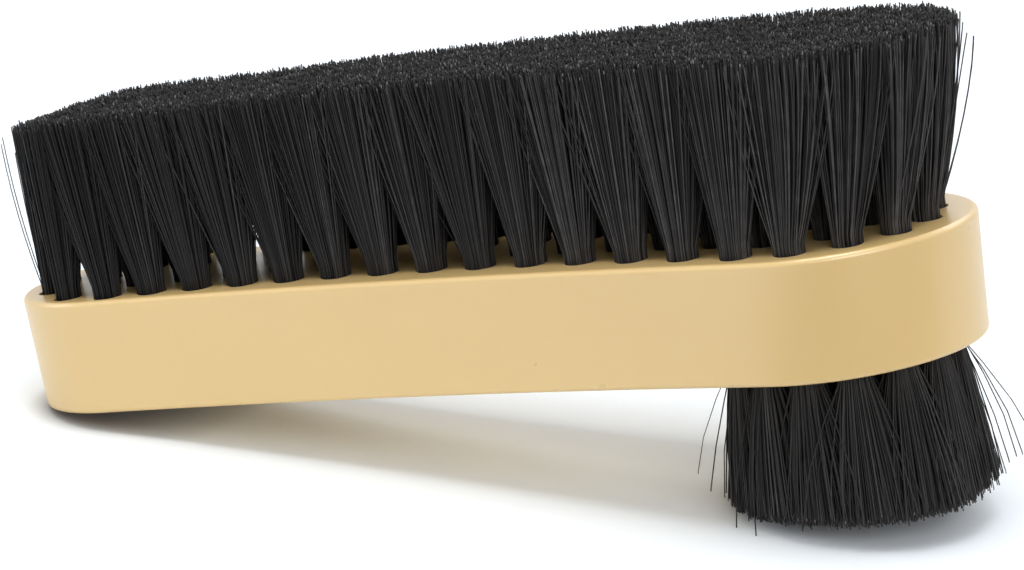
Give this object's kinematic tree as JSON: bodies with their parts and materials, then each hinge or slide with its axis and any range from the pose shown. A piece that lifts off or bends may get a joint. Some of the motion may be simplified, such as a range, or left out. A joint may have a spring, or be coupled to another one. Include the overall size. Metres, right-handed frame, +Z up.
{
  "type": "shoe shine brush",
  "caption": "Two-sided shoe shine brush: a waisted handle with a dense polishing face of black bristle on one side and a round dauber for applying polish under its wide end.",
  "frame": {"origin": "middle of the brush's bounding box at table level, with the brush lying on the lower edge of its narrow end and the tips of the dauber", "axes": "+X towards the wide end that carries the dauber, along the brush; +Z up from the table; +Y across the brush. The handle's upper face rises by 10.3 degrees towards +X."},
  "size_m": [0.1626, 0.0464, 0.0748],
  "materials": {
    "handle": "cream moulded plastic, satin to semi-gloss",
    "polishing_bristle": "black bristle with a soft sheen",
    "dauber_bristle": "black bristle with a soft sheen",
    "anchor_wire": "flat drawn wire"
  },
  "bodies": {
    "root": {"handle": "handle", "outer_front_tufts": "polishing_bristle", "outer_back_tufts": "polishing_bristle", "outer_wide_end_tufts": "polishing_bristle", "outer_narrow_end_tufts": "polishing_bristle", "inner_front_tufts": "polishing_bristle", "inner_back_tufts": "polishing_bristle", "inner_wide_end_tufts": "polishing_bristle", "inner_narrow_end_tufts": "polishing_bristle", "centre_row_tufts": "polishing_bristle", "dauber_outer_tufts_ring": "dauber_bristle", "dauber_inner_tufts_ring": "dauber_bristle", "dauber_centre_tuft": "dauber_bristle", "outer_front_anchors": "anchor_wire", "outer_back_anchors": "anchor_wire", "outer_wide_end_anchors": "anchor_wire", "outer_narrow_end_anchors": "anchor_wire", "inner_front_anchors": "anchor_wire", "inner_back_anchors": "anchor_wire", "inner_wide_end_anchors": "anchor_wire", "inner_narrow_end_anchors": "anchor_wire", "centre_row_anchors": "anchor_wire", "dauber_outer_anchors": "anchor_wire", "dauber_inner_anchors": "anchor_wire", "dauber_centre_anchor": "anchor_wire"}
  },
  "joints": []
}
